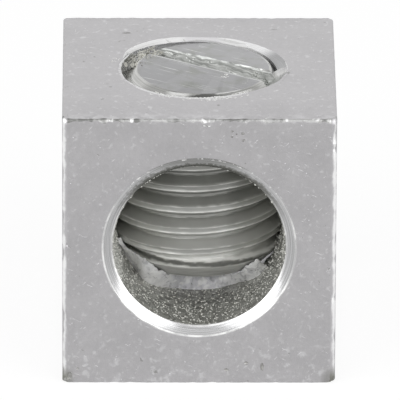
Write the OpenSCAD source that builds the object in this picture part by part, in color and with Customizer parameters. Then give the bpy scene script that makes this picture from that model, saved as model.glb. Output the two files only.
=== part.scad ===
// Mechanical lug: a plated aluminium block with a wire bore through it, and a
// slotted set screw that comes down into the bore from above and clamps the wire.
// The block stands on its bottom face, centred on the origin. +Z is the screw's
// axis, +Y runs along the wire bore, and the face that is seen first is at -Y.

/* [Block] */
// Width of the block, across the wire bore
body_w = 18; // [16:0.1:24]
// Length of the block, along the wire bore
body_d = 17.6; // [15:0.1:26]
// Height of the block
body_h = 18.8; // [17.5:0.1:24]
// Radius of the four upright edges
corner_r = 0.35; // [0.15:0.05:1]
// Width of the break along the top and bottom edges
edge_break = 0.1; // [0.05:0.01:0.3]

/* [Wire bore] */
// Diameter of the wire bore
bore_d = 11.25; // [10.5:0.05:12]
// Height of the wire bore's axis above the bottom face
bore_z = 9.65; // [9:0.05:10.5]
// Width of the countersink around each mouth of the wire bore
sink_w = 0.75; // [0.3:0.05:1.2]
// Included angle of the countersinks
sink_angle = 120; // [90:5:130]

/* [Screw thread] */
// Diameter over the screw's blunt thread crests
thread_d = 11.7; // [10.5:0.1:12.5]
// Rise of the thread in one turn
thread_pitch = 1.5; // [1.25:0.05:1.75]
// Width of the flat on each thread crest
crest_flat = 0.42; // [0.2:0.02:0.5]
// Width of the flat at each thread root
root_flat = 0.2; // [0.1:0.02:0.3]
// Included angle of the thread
thread_angle = 60; // [55:5:65]
// Turn of the thread about the screw's axis when the screw is home
thread_turn = -144; // [-180:1:180]
// Clearance between the thread's crests and the screw hole, on the radius
thread_clearance = 0.05; // [0.02:0.01:0.1]

/* [Screw hole] */
// How far the drill's point runs below the floor of the wire bore
drill_over = 1.6; // [0.8:0.05:2]
// Included angle of the drill's point
drill_angle = 118; // [110:1:135]
// How far the drilled hole stands outside the thread's roots, on the radius
drill_allowance = 0.1; // [0.05:0.01:0.2]
// Gap between the screw's end and the tap's run-out when the screw is home
runout_gap = 0.3; // [0.1:0.05:0.5]

/* [Set screw] */
// Length of the set screw
screw_len = 12.95; // [10:0.05:16]
// Gap between the screw's tip and the drilled point when the screw is home
tip_gap = 0.6; // [0.2:0.05:0.8]
// Diameter of the flat on the screw's tip
tip_d = 9; // [7:0.1:10]
// Diameter of the flat on the screw's slotted end
top_d = 8.3; // [7:0.1:10]
// Width of the screwdriver slot
slot_w = 1.3; // [0.8:0.1:2.5]
// Depth of the screwdriver slot
slot_depth = 2.4; // [1.6:0.1:3.6]
// How far the slot's middle line lies from the screw's axis
slot_offset = 1.15; // [0:0.05:1.5]
// Turn of the slot away from the block's width
slot_turn = -32; // [-90:1:90]

/* [Hidden] */
$fn = 96;

// How far a cutting shape runs past the face that it cuts
past = 1;
// Flat sides around one turn of the thread
thread_sides = 48;

sink_depth = sink_w / tan(sink_angle / 2);
bore_floor_z = bore_z - bore_d / 2;

crest_r = thread_d / 2;
flank_w = (thread_pitch - crest_flat - root_flat) / 2;
root_r = crest_r - flank_w / tan(thread_angle / 2);
hole_r = crest_r + thread_clearance;
drill_r = root_r + drill_allowance;

tip_r = tip_d / 2;
top_r = top_d / 2;
point_rise = tan(90 - drill_angle / 2);
drill_tip_z = bore_floor_z - drill_over;
drill_shoulder_z = drill_tip_z + drill_r * point_rise;
tip_z = drill_tip_z + tip_r * point_rise + tip_gap;
runout_z = max(drill_shoulder_z, tip_z + drill_r - tip_r - runout_gap);
top_z = tip_z + screw_len;

// Outline of the block seen from above, with round corners
module block_outline() {
    square([body_w - 2 * corner_r, body_d], center = true);
    square([body_w, body_d - 2 * corner_r], center = true);
    for (x = [-1, 1], y = [-1, 1])
        translate([x * (body_w / 2 - corner_r), y * (body_d / 2 - corner_r)])
            circle(corner_r);
}

// A long bar with a square section, standing on its corner, that breaks one edge along X
module edge_cutter(length) {
    side = edge_break * sqrt(2);
    rotate([45, 0, 0]) cube([length + 2 * past, side, side], center = true);
}

// The breaks along the four edges of the face at height z
module edge_breaks(z) {
    for (y = [-1, 1])
        translate([0, y * body_d / 2, z]) edge_cutter(body_w);
    for (x = [-1, 1])
        translate([x * body_w / 2, 0, z]) rotate([0, 0, 90]) edge_cutter(body_d);
}

// The wire bore with a countersink at each mouth, turned about its own axis
module wire_bore() {
    bore_r = bore_d / 2;
    half = body_d / 2;
    flare = past * tan(sink_angle / 2);
    translate([0, 0, bore_z])
        rotate([90, 0, 0])
            rotate_extrude()
                polygon([
                    [0, -half - past],
                    [bore_r + sink_w + flare, -half - past],
                    [bore_r, -half + sink_depth],
                    [bore_r, half - sink_depth],
                    [bore_r + sink_w + flare, half + past],
                    [0, half + past]
                ]);
}

// The screw hole: drilled to a point, then opened to the size of the thread down to a run-out
module screw_hole() {
    rotate_extrude()
        polygon([
            [0, drill_tip_z],
            [drill_r, drill_shoulder_z],
            [drill_r, runout_z],
            [hole_r, runout_z + hole_r - drill_r],
            [hole_r, body_h + past],
            [0, body_h + past]
        ]);
}

// A right-hand thread on its core, longer than the screw at both ends
module thread_bar() {
    turns = ceil(screw_len / thread_pitch) + 3;
    profile = [
        [root_r, 0],
        [crest_r, flank_w],
        [crest_r, flank_w + crest_flat],
        [root_r, 2 * flank_w + crest_flat]
    ];
    step = len(profile);
    rows = [for (turn = [0 : turns - 1], p = profile) p + [0, turn * thread_pitch]];
    count = len(rows);
    last = thread_sides - 1;
    points = [
        for (side = [0 : last], row = rows)
            let (turn = side / thread_sides)
                [row.x * cos(360 * turn), row.x * sin(360 * turn), row.y + turn * thread_pitch]
    ];
    low_centre = [0, 0, 0];
    high_centre = [0, 0, turns * thread_pitch];
    low = len(points);
    high = low + 1;
    // Rings of the open helical ends, in order around the axis
    low_ring = concat([for (side = [0 : last]) side * count], [for (k = [step : -1 : 1]) k]);
    high_ring = concat(
        [for (side = [0 : last]) side * count + count - 1],
        [for (k = [1 : step]) last * count + count - 1 - k]
    );
    flanks = [
        for (side = [0 : last], j = [0 : count - 2])
            let (
                seam = side == last,
                here = side * count + j,
                next = seam ? j + step : here + count
            )
                if (!seam || j + step < count - 1)
                    each [[here, here + 1, next], [next, here + 1, next + 1]]
    ];
    caps = concat(
        [for (k = [0 : len(low_ring) - 1]) [low, low_ring[k], low_ring[(k + 1) % len(low_ring)]]],
        [for (k = [0 : len(high_ring) - 1]) [high, high_ring[(k + 1) % len(high_ring)], high_ring[k]]]
    );
    translate([0, 0, -thread_pitch])
        polyhedron(concat(points, [low_centre, high_centre]), concat(flanks, caps));
}

// The screw's outside with a 45 degree chamfer at each end, turned about its axis
module screw_envelope() {
    outer_r = crest_r + past;
    rotate_extrude()
        polygon([
            [0, 0],
            [tip_r, 0],
            [outer_r, outer_r - tip_r],
            [outer_r, screw_len - (outer_r - top_r)],
            [top_r, screw_len],
            [0, screw_len]
        ]);
}

// Plated block with the wire bore, the screw hole and broken edges
module lug_body() {
    color([0.69, 0.69, 0.71])
        difference() {
            linear_extrude(body_h) block_outline();
            edge_breaks(0);
            edge_breaks(body_h);
            wire_bore();
            screw_hole();
        }
}

// Slotted set screw at the height to which it is driven
module set_screw() {
    color([0.5, 0.51, 0.49])
        translate([0, 0, tip_z])
            difference() {
                intersection() {
                    rotate([0, 0, thread_turn]) thread_bar();
                    screw_envelope();
                }
                rotate([0, 0, slot_turn])
                    translate([-crest_r - past, slot_offset - slot_w / 2, screw_len - slot_depth])
                        cube([2 * (crest_r + past), slot_w, slot_depth + past]);
            }
}

lug_body();
set_screw();
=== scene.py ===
"""Looks of the mechanical lug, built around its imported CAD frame.

A plated block with a countersunk wire bore and a tapped hole, and a slotted set screw in
that hole. Pieces are modelled in millimetres, and finish_piece() turns them into metres.
"""

import math
import random
from functools import partialmethod

import bmesh
import bpy
import numpy as np
from mathutils import Matrix, Vector, noise


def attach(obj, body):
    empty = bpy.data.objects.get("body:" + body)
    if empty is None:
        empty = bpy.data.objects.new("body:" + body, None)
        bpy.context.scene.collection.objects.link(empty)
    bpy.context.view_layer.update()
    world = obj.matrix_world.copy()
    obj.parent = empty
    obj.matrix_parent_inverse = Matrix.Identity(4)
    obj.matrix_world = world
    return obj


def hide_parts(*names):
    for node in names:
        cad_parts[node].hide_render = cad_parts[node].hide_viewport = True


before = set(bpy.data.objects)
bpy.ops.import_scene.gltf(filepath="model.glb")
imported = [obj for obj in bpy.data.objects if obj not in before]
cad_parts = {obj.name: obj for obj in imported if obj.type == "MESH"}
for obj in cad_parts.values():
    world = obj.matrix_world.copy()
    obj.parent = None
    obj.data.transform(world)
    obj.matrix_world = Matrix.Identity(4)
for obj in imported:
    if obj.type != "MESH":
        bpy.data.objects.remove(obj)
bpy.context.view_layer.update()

MM = 0.001
FULL_TURN = 2 * math.pi

# Sizes of the part's source
BODY_W, BODY_D, BODY_H = 18.0, 17.6, 18.8
CORNER_R = 0.35
BORE_R, BORE_Z = 5.625, 9.65
SINK_W = 0.75
SINK_DEPTH = SINK_W / math.tan(math.radians(60))
CREST_R, ROOT_R, PITCH, CREST_FLAT = 5.85, 5.088, 1.5, 0.42
FLANK_SLOPE = 1 / math.tan(math.radians(30))
DRILL_R, DRILL_TIP_Z, DRILL_RISE = 5.188, 2.425, 0.6009
TIP_Z, TOP_Z, RUNOUT_Z = 5.729, 18.679, 6.117
TIP_R, TOP_R = 4.5, 4.15
SLOT_W, SLOT_DEPTH, SLOT_OFFSET, SLOT_TURN = 1.3, 2.4, 1.15, math.radians(-32)

# The plating's faces lie this far inside the CAD box, which leaves room for its nodules
SKIN = 0.04
HALF_W, HALF_D, FACE_Z = BODY_W / 2 - SKIN, BODY_D / 2 - SKIN, BODY_H - SKIN
# How far the slot's worn side runs off its line, for each millimetre along it
SLOT_SKEW = 0.049
# Where the thread starts below the screw, which sets where its crests come in front
THREAD_START, THREAD_TURNS = 3.229, 11
# Turns from there up to the uppermost crest, at the bearing 0
LAST_CREST = 10.5
TAP_R, TAP_FLAT = CREST_R + 0.03, CREST_FLAT + 0.03

# Points nearer than these are welded: in a finished piece, and at the seams of a threaded bar
WELD, SEAM = 0.0005, 0.002
# Flat sides around the turned shapes
BORE_SIDES, DRILL_SIDES, TAP_SIDES, MOUTH_SIDES, SCREW_SIDES = 200, 144, 96, 240, 160
# Edges above these angles in degrees stay sharp
LIP_SHARP, BLOCK_SHARP, SCREW_SHARP = 50, 20, 24
# Finishes of the block's faces and of the screw's, in the order in which their materials are listed
PLATE, BORE, SINK, DRILLED, TAPPED, PIT, TOP_EDGE, CORNER, MOUTH = range(9)
THREAD, END, SLOT, SMEARED, BEVEL, TORN_LIP = range(6)


def crest_height(bearing):
    """Height at which the thread's uppermost crest crosses a bearing in degrees, from -212 to 6."""
    return THREAD_START + PITCH * (LAST_CREST + bearing / 360)


def smooth(value, low, high):
    """0 below low, 1 above high and an even curve between them."""
    share = min(1.0, max(0.0, (value - low) / (high - low)))
    return share * share * (3 - 2 * share)


def around(angle, radius, height=0.0):
    """The point at an angle and a radius about Z."""
    return Vector((radius * math.cos(angle), radius * math.sin(angle), height))


class Graph:
    """Adds and links the nodes of one tree in short calls."""

    def __init__(self, tree):
        self.tree = tree

    def feed(self, socket, value):
        """Links another socket to this one, or sets this one's value."""
        if isinstance(value, bpy.types.NodeSocket):
            self.tree.links.new(value, socket)
        else:
            socket.default_value = value

    def node(self, kind, inputs=None, **settings):
        made = self.tree.nodes.new(kind)
        for name, value in settings.items():
            setattr(made, name, value)
        for key, value in (inputs or {}).items():
            self.feed(made.inputs[key], value)
        return made

    def math(self, operation, *values):
        return self.node("ShaderNodeMath", dict(enumerate(values)), operation=operation).outputs[0]

    plus = partialmethod(math, "ADD")
    less = partialmethod(math, "SUBTRACT")
    times = partialmethod(math, "MULTIPLY")
    over = partialmethod(math, "DIVIDE")
    most = partialmethod(math, "MAXIMUM")
    size = partialmethod(math, "ABSOLUTE")
    times_plus = partialmethod(math, "MULTIPLY_ADD")

    def scaled(self, vector, factor):
        return self.node("ShaderNodeVectorMath", {0: vector, "Scale": factor}, operation="SCALE").outputs[0]

    def parts(self, vector):
        return self.node("ShaderNodeSeparateXYZ", {0: vector}).outputs

    def vector(self, x, y, z):
        return self.node("ShaderNodeCombineXYZ", {0: x, 1: y, 2: z}).outputs[0]

    def step(self, value, low, high, to_low=0.0, to_high=1.0):
        sockets = {"Value": value, "From Min": low, "From Max": high, "To Min": to_low, "To Max": to_high}
        return self.node("ShaderNodeMapRange", sockets, interpolation_type="SMOOTHSTEP").outputs[0]

    def near(self, value, place, far, close, to_low=0.0, to_high=1.0):
        """Rises as the value comes from a distance far of a place to a distance close to it."""
        return self.step(self.size(self.less(value, place)), far, close, to_low, to_high)

    def mix(self, share, low, high):
        """A colour between two others, each given as three numbers or as a socket."""
        low, high = ((*c, 1.0) if isinstance(c, tuple) else c for c in (low, high))
        return self.node("ShaderNodeMix", {0: share, 6: low, 7: high}, data_type="RGBA").outputs[2]

    def noise(self, vector, scale, detail=2.0, distortion=0.0):
        sockets = {"Vector": vector, "Scale": scale, "Detail": detail, "Distortion": distortion}
        return self.node("ShaderNodeTexNoise", sockets).outputs["Fac"]

    def chance(self, low, high, seed):
        sockets = {2: low, 3: high, "Seed": seed}
        return self.node("FunctionNodeRandomValue", sockets, data_type="FLOAT").outputs[1]

    def end(self, geometry, material, sink):
        """Ends a geometry tree: instances made real, and the material set."""
        whole = self.node("GeometryNodeRealizeInstances", {"Geometry": geometry})
        final = self.node("GeometryNodeSetMaterial", {"Geometry": whole.outputs[0], "Material": material})
        self.feed(sink, final.outputs[0])
        return self.tree


def new_group(kind, name, inputs, outputs):
    """An empty node group: its graph, inputs and outputs. An input comes with its default or its kind."""
    tree = bpy.data.node_groups.new(name, kind)

    def socket(label, side, sort):
        return tree.interface.new_socket(label, in_out=side, socket_type="NodeSocket" + sort)

    for label, default in inputs.items():
        if isinstance(default, str):
            socket(label, "INPUT", default)
        else:
            socket(label, "INPUT", "Int" if isinstance(default, int) else "Float").default_value = default
    for label, sort in outputs.items():
        socket(label, "OUTPUT", sort)
    graph = Graph(tree)
    return graph, graph.node("NodeGroupInput").outputs, graph.node("NodeGroupOutput").inputs


# Mesh tools

def linked(name, data):
    """A new object with the data, put into the scene."""
    made = bpy.data.objects.new(name, data)
    bpy.context.scene.collection.objects.link(made)
    return made


def new_object(name, points, faces):
    """A mesh object from points and faces."""
    mesh = bpy.data.meshes.new(name)
    mesh.from_pydata([tuple(p) for p in points], [], faces)
    mesh.update()
    return linked(name, mesh)


def mesh_of(name, work):
    """A new mesh with the faces of a bmesh, which is freed."""
    mesh = bpy.data.meshes.new(name)
    work.to_mesh(mesh)
    work.free()
    return mesh


def ring_faces(rows, columns):
    """Quads between closed rings of points, with a face over each end."""
    faces = [
        (r * columns + c, r * columns + (c + 1) % columns,
         (r + 1) * columns + (c + 1) % columns, (r + 1) * columns + c)
        for r in range(rows - 1) for c in range(columns)
    ]
    last = (rows - 1) * columns
    return faces + [tuple(reversed(range(columns))), tuple(range(last, last + columns))]


def turned(name, rows, sides, shape=None):
    """A closed shape turned about Z from (radius, height) rows; shape may move a ring point."""
    points = []
    for index, (radius, height) in enumerate(rows):
        for side in range(sides):
            angle = FULL_TURN * side / sides
            r, z = shape(index, angle, radius, height) if shape else (radius, height)
            points.append(around(angle, r, z))
    return new_object(name, points, ring_faces(len(rows), sides))


def face_out(piece, weld=0.0):
    """Turns all faces outwards, after welding near points and deleting the flaps that this leaves."""
    mesh = bmesh.new()
    mesh.from_mesh(piece.data)
    if weld:
        bmesh.ops.remove_doubles(mesh, verts=mesh.verts, dist=weld)
        bmesh.ops.dissolve_degenerate(mesh, edges=mesh.edges, dist=weld)
        bmesh.ops.triangulate(mesh, faces=mesh.faces)
        sheets = {}
        for face in mesh.faces:
            sheets.setdefault(frozenset(face.verts), []).append(face)
        flaps = [face for pair in sheets.values() if len(pair) > 1 for face in pair]
        bmesh.ops.delete(mesh, geom=flaps, context="FACES")
    bmesh.ops.recalc_face_normals(mesh, faces=mesh.faces)
    mesh.to_mesh(piece.data)
    mesh.free()


def bake(piece):
    """Replaces the piece's mesh by its evaluated one and takes its modifiers off."""
    graph = bpy.context.evaluated_depsgraph_get()
    mesh = bpy.data.meshes.new_from_object(piece.evaluated_get(graph))
    piece.modifiers.clear()
    piece.data = mesh
    return piece


def combine(piece, operation, *tools):
    """Cuts, joins or meets the piece with the tools and throws the tools away."""
    face_out(piece)
    for tool in tools:
        face_out(tool)
        modifier = piece.modifiers.new(operation, "BOOLEAN")
        modifier.operation, modifier.solver, modifier.object = operation, "MANIFOLD", tool
        bake(piece)
        bpy.data.objects.remove(tool)
    return piece


def shade(piece, sharp_angle):
    """Smooth faces with edges kept sharp above an angle."""
    face_out(piece, WELD)
    piece.data.polygons.foreach_set("use_smooth", [True] * len(piece.data.polygons))
    piece.data.set_sharp_from_angle(angle=math.radians(sharp_angle))


def paint(piece, materials, region):
    """Gives each face the material that region() picks from the face's middle and direction."""
    piece.data.materials.clear()
    for material in materials:
        piece.data.materials.append(material)
    for face in piece.data.polygons:
        face.material_index = region(face.center, face.normal)


def grown(name, tree, source=None, **sizes):
    """An object whose mesh a Geometry Nodes tree makes, from a source mesh where it needs one."""
    piece = linked(name, source or bpy.data.meshes.new(name))
    modifier = piece.modifiers.new(name, "NODES")
    modifier.node_group = tree
    sockets = {s.name: s.identifier for s in tree.interface.items_tree if s.in_out == "INPUT"}
    for label, value in sizes.items():
        modifier[sockets[label.replace("_", " ")]] = value
    return bake(piece)


def finish_piece(piece, body, slot, *nodes):
    """Puts a finished piece into metres and onto its CAD body."""
    piece.data.transform(Matrix.Scale(MM, 4))
    piece.data.update()
    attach(piece, body)
    if nodes:
        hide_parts(*nodes)


# Geometry Nodes trees

def thread_tree():
    """A bar with a helical thread, from a grid that is sheared by one pitch in each turn."""
    graph, given, made = new_group(
        "GeometryNodeTree", "helical thread",
        {"Crest radius": 5.85, "Root radius": 5.0, "Pitch": 1.5, "Crest flat": 0.4, "Crest dip": 0.0,
         "Flank slope": 1.73, "Rounding": 0.05, "Start": 0.0, "Turns": 4, "Columns": 96, "Rows in a pitch": 12,
         "Wear": 0.0, "Material": "Material"},
        {"Geometry": "Geometry"},
    )
    do, plus, less, times, most = graph.math, graph.plus, graph.less, graph.times, graph.most
    pitch, crest_r = given["Pitch"], given["Crest radius"]
    grid = graph.node("GeometryNodeMeshGrid", {
        "Size X": 1.0, "Size Y": 1.0, "Vertices X": plus(given["Columns"], 1),
        "Vertices Y": plus(times(given["Turns"], given["Rows in a pitch"]), 1),
    })
    place = graph.parts(graph.node("GeometryNodeInputPosition").outputs[0])
    turn = plus(place["X"], 0.5)
    climb = times(plus(place["Y"], 0.5), given["Turns"])
    away = times(graph.size(less(do("FRACT", climb), 0.5)), pitch)
    half_flat = times(given["Crest flat"], 0.5)
    share = graph.over(away, half_flat)
    hollow = most(less(1.0, times(share, share)), 0.0)
    crest = less(crest_r, times(hollow, given["Crest dip"]))
    flank = less(crest_r, times(less(away, half_flat), given["Flank slope"]))
    radius = most(do("SMOOTH_MIN", crest, flank, given["Rounding"]), given["Root radius"])
    angle = times(turn, FULL_TURN)
    height = plus(given["Start"], times(pitch, plus(climb, turn)))
    cosine, sine = do("COSINE", angle), do("SINE", angle)
    spot = graph.vector(times(cosine, crest_r), times(sine, crest_r), height)
    rub = times(less(graph.noise(spot, 1.6, 3.0), 0.62), given["Wear"])
    worn = plus(radius, do("MINIMUM", rub, 0.0))
    moved = graph.node("GeometryNodeSetPosition", {
        "Geometry": grid.outputs["Mesh"],
        "Position": graph.vector(times(cosine, worn), times(sine, worn), height),
    })
    welded = graph.node("GeometryNodeMergeByDistance", {"Geometry": moved.outputs[0], "Distance": SEAM})
    rim = graph.node("FunctionNodeCompare", {
        2: graph.node("GeometryNodeInputMeshEdgeNeighbors").outputs[0], 3: 1,
    }, data_type="INT", operation="EQUAL")
    capped = graph.node("GeometryNodeExtrudeMesh", {
        "Mesh": welded.outputs[0], "Selection": rim.outputs[0], "Offset Scale": 0.0,
    }, mode="EDGES")
    low = given["Start"]
    high = plus(low, times(pitch, plus(given["Turns"], 1)))
    here = graph.parts(graph.node("GeometryNodeInputPosition").outputs[0])["Z"]
    upper = do("GREATER_THAN", here, times(plus(low, high), 0.5))
    end = plus(low, times(upper, less(high, low)))
    closed = graph.node("GeometryNodeSetPosition", {
        "Geometry": capped.outputs["Mesh"], "Selection": capped.outputs["Top"],
        "Position": graph.vector(0.0, 0.0, end),
    })
    single = graph.node("GeometryNodeMergeByDistance", {"Geometry": closed.outputs[0], "Distance": SEAM})
    return graph.end(single.outputs[0], given["Material"], made["Geometry"])


def grain_tree():
    """Small rounded grains scattered over a surface and half sunk into it."""
    graph, given, made = new_group(
        "GeometryNodeTree", "surface grains",
        {"Geometry": "Geometry", "Density": 5.0, "Smallest": 0.03, "Largest": 0.06, "Height": 0.7, "Seed": 0,
         "Material": "Material"},
        {"Geometry": "Geometry"},
    )
    points = graph.node("GeometryNodeDistributePointsOnFaces", {
        "Mesh": given["Geometry"], "Density": given["Density"], "Seed": given["Seed"],
    })
    pick = graph.chance(0.0, 1.0, given["Seed"])
    spread = graph.less(given["Largest"], given["Smallest"])
    size = graph.times_plus(graph.times(pick, pick), spread, given["Smallest"])
    grain = graph.node("GeometryNodeMeshUVSphere", {"Radius": 1.0, "Segments": 5, "Rings": 4})
    even = graph.node("GeometryNodeSetShadeSmooth", {"Geometry": grain.outputs["Mesh"]})
    placed = graph.node("GeometryNodeInstanceOnPoints", {
        "Points": points.outputs["Points"], "Instance": even.outputs[0],
        "Rotation": points.outputs["Rotation"],
        "Scale": graph.vector(size, size, graph.times(size, given["Height"])),
    })
    return graph.end(placed.outputs[0], given["Material"], made["Geometry"])


def burr_tree():
    """Torn flakes on an arc about Z, flattened and turned by chance; outside a radius they lie lower."""
    graph, given, made = new_group(
        "GeometryNodeTree", "torn flakes",
        {"Radius": 5.2, "Spread": 0.2, "Height": 18.7, "Fall from": 9.0, "From angle": 0.0, "To angle": 3.0,
         "Count": 40, "Smallest": 0.03, "Largest": 0.09, "Thickness": 0.4, "Tilt": 0.3, "Seed": 0,
         "Material": "Material"},
        {"Geometry": "Geometry"},
    )
    do, plus, less, times = graph.math, graph.plus, graph.less, graph.times

    def chance(low, high, shift):
        return graph.chance(low, high, plus(given["Seed"], shift))

    angle = chance(given["From angle"], given["To angle"], 0)
    radius = plus(given["Radius"], times(given["Spread"], chance(-1.0, 1.0, 1)))
    height = less(given["Height"], graph.most(less(radius, given["Fall from"]), 0.0))
    points = graph.node("GeometryNodePoints", {
        "Count": given["Count"],
        "Position": graph.vector(times(radius, do("COSINE", angle)), times(radius, do("SINE", angle)), height),
    })
    flake = graph.node("GeometryNodeMeshIcoSphere", {"Radius": 1.0, "Subdivisions": 1})
    size = chance(given["Smallest"], given["Largest"], 3)
    lean = times(given["Tilt"], -1.0)
    tilt = graph.vector(chance(lean, given["Tilt"], 4), chance(lean, given["Tilt"], 5),
                        plus(angle, chance(0.9, 2.2, 6)))
    placed = graph.node("GeometryNodeInstanceOnPoints", {
        "Points": points.outputs[0], "Instance": flake.outputs["Mesh"],
        "Rotation": graph.node("FunctionNodeEulerToRotation", {0: tilt}).outputs[0],
        "Scale": graph.vector(size, times(size, chance(0.14, 0.5, 7)), times(size, given["Thickness"])),
    })
    return graph.end(placed.outputs[0], given["Material"], made["Geometry"])


# Shader groups and materials

def nodule_group():
    """Round specks in a share of small cells, and the fine grain between them."""
    graph, given, made = new_group(
        "ShaderNodeTree", "plating nodules",
        {"Vector": "Vector", "Cell": 0.16, "Share": 0.2, "Grain": 0.05},
        {"Specks": "Float", "Grain": "Float"},
    )
    cells = graph.node("ShaderNodeTexVoronoi", {
        "Vector": graph.scaled(given["Vector"], graph.over(1.0, given["Cell"])), "Scale": 1.0,
    })
    picked = graph.math("LESS_THAN", graph.parts(cells.outputs["Color"])["X"], given["Share"])
    dome = graph.step(cells.outputs["Distance"], 0.4, 0.08)
    graph.feed(made["Specks"], graph.times(dome, picked))
    fine = graph.scaled(given["Vector"], graph.over(1.0, given["Grain"]))
    graph.feed(made["Grain"], graph.noise(fine, 1.0, 3.0))
    return graph.tree


def line_group():
    """Uneven parallel lines, as a cutter or a brush leaves them."""
    graph, given, made = new_group(
        "ShaderNodeTree", "tool lines",
        {"Across": 0.0, "Along": 0.0, "Pitch": 0.1, "Length": 6.0},
        {"Lines": "Float"},
    )
    across, along = graph.over(given["Across"], given["Pitch"]), graph.over(given["Along"], given["Length"])
    spot = graph.vector(across, along, 0.0)
    graph.feed(made["Lines"], graph.noise(spot, 1.0, 3.0, 0.2))
    return graph.tree


def smudge_group():
    """Soft-edged patches of dirt or shine over a share of the surface."""
    graph, given, made = new_group(
        "ShaderNodeTree", "smudges",
        {"Vector": "Vector", "Size": 1.0, "Level": 0.6, "Softness": 0.1},
        {"Mask": "Float"},
    )
    field = graph.noise(graph.scaled(given["Vector"], graph.over(1.0, given["Size"])), 1.0, 5.0, 0.4)
    graph.feed(made["Mask"], graph.step(field, given["Level"], graph.plus(given["Level"], given["Softness"])))
    return graph.tree


NODULES, LINES, SMUDGES = nodule_group(), line_group(), smudge_group()


class Finish(Graph):
    """A metal whose colour, roughness and relief are put together from the shared groups."""

    def __init__(self, name, metallic):
        self.material = bpy.data.materials.new(name)
        self.material.use_nodes = True
        super().__init__(self.material.node_tree)
        self.shader = self.tree.nodes["Principled BSDF"].inputs
        self.feed(self.shader["Metallic"], metallic)
        self.spot = self.scaled(self.node("ShaderNodeTexCoord").outputs["Object"], 1 / MM)
        self.x, self.y, self.z = (self.parts(self.spot)[axis] for axis in "XYZ")

    def group(self, tree, inputs):
        return self.node("ShaderNodeGroup", inputs, node_tree=tree).outputs

    def spots(self, scale, detail=2.0, distortion=0.0):
        """Noise over the piece's own millimetres."""
        return self.noise(self.spot, scale, detail, distortion)

    def nodules(self, cell, share, grain):
        return self.group(NODULES, {"Vector": self.spot, "Cell": cell, "Share": share, "Grain": grain})

    def lines(self, across, along, pitch, length):
        return self.group(LINES, {"Across": across, "Along": along, "Pitch": pitch, "Length": length})["Lines"]

    def smudges(self, size, level, softness):
        sockets = {"Vector": self.spot, "Size": size, "Level": level, "Softness": softness}
        return self.group(SMUDGES, sockets)["Mask"]

    def mixed(self, first, second, angle):
        """The field first * cos + second * sin of an angle in degrees."""
        turn = math.radians(angle)
        return self.total((first, math.cos(turn)), (second, math.sin(turn)))

    def scratches(self, angle, pitch, length, level):
        """Thin straight marks at an angle, seen alike on the top and on the upright faces."""
        up, aside = self.plus(self.y, self.z), self.total((self.x, 1.0), (self.y, 0.7))
        field = self.lines(self.mixed(up, aside, angle), self.mixed(aside, up, -angle), pitch, length)
        return self.step(field, level, level + 0.05)

    def about_bore(self):
        """Distance from the wire bore's axis."""
        up = self.less(self.z, BORE_Z)
        return self.math("SQRT", self.times_plus(up, up, self.times(self.x, self.x)))

    def about_screw(self):
        """Distance from the screw's axis."""
        return self.math("SQRT", self.times_plus(self.x, self.x, self.times(self.y, self.y)))

    def about_slot(self):
        """Places along and across the screwdriver slot."""
        degrees = math.degrees(SLOT_TURN)
        return self.mixed(self.x, self.y, degrees), self.mixed(self.y, self.x, -degrees)

    def total(self, *terms):
        """The sum of (field, weight) terms."""
        result = 0.0
        for field, weight in terms:
            result = self.times_plus(field, weight, result)
        return result

    def finish(self, colour, roughness, height, depth):
        bump = self.node("ShaderNodeBump", {"Strength": 1.0, "Distance": depth * MM, "Height": height})
        for label, value in (("Base Color", colour), ("Roughness", roughness), ("Normal", bump.outputs[0])):
            self.feed(self.shader[label], value)
        return self.material


def plated_face(name):
    """Matt tin plate: pale lavender grey with fine grain, bright specks, drawn lines and scratches."""
    f = Finish(name, 1.0)
    plate = f.nodules(0.36, 0.1, 0.06)
    drawn = f.lines(f.z, f.plus(f.x, f.y), 0.09, 7.0)
    cloud = f.spots(0.45, 4.0)
    marks = f.most(f.scratches(24, 0.09, 0.9, 0.69), f.scratches(-47, 0.1, 0.6, 0.68))
    shine = f.smudges(0.46, 0.58, 0.16)
    mottle = f.spots(4.5, 3.0)
    colour = f.mix(cloud, (0.446, 0.436, 0.446), (0.593, 0.58, 0.591))
    colour = f.mix(f.step(mottle, 0.35, 0.65, 0.0, 0.13), colour, (0.3, 0.3, 0.3))
    dark, pale = f.mix(0.25, colour, (0.3, 0.3, 0.3)), f.mix(0.2, colour, (0.8, 0.8, 0.82))
    colour = f.mix(plate["Grain"], dark, pale)
    low = f.times(f.smudges(0.55, 0.54, 0.16), f.step(f.z, 5.5, 1.0))
    rim = f.times(f.step(f.y, 1.3 - HALF_D, 0.2 - HALF_D), f.step(f.z, FACE_Z - 0.1, FACE_Z - 0.02))
    rim = f.times(rim, f.smudges(0.7, 0.42, 0.2))
    # The specks are raised nodules, painted pale as painted highlights
    soft = f.total((plate["Specks"], 0.24), (shine, 0.36), (low, 0.36), (rim, 0.3))
    bright = f.most(soft, f.times(marks, 0.5))
    colour = f.mix(bright, colour, (0.86, 0.86, 0.87))
    pits = f.smudges(0.5, 0.70, 0.05)
    # Darker towards the bottom near the sides
    aside = f.step(f.total((f.size(f.x), 1.0), (cloud, 1.6)), 8.7, 9.4)
    foot_darkening = f.times(aside, f.step(f.z, 1.4, 0.4))
    colour = f.mix(f.most(f.times(pits, 0.6), f.times(foot_darkening, 0.5)), colour, (0.2, 0.2, 0.18))
    roughness = f.total((plate["Grain"], 0.2), (cloud, 0.12), (0.2, 1.0))
    height = f.total((plate["Grain"], 0.5), (plate["Specks"], 0.6), (drawn, 0.35), (marks, 0.5), (pits, -0.8))
    return f.finish(colour, roughness, height, 0.012)


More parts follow.
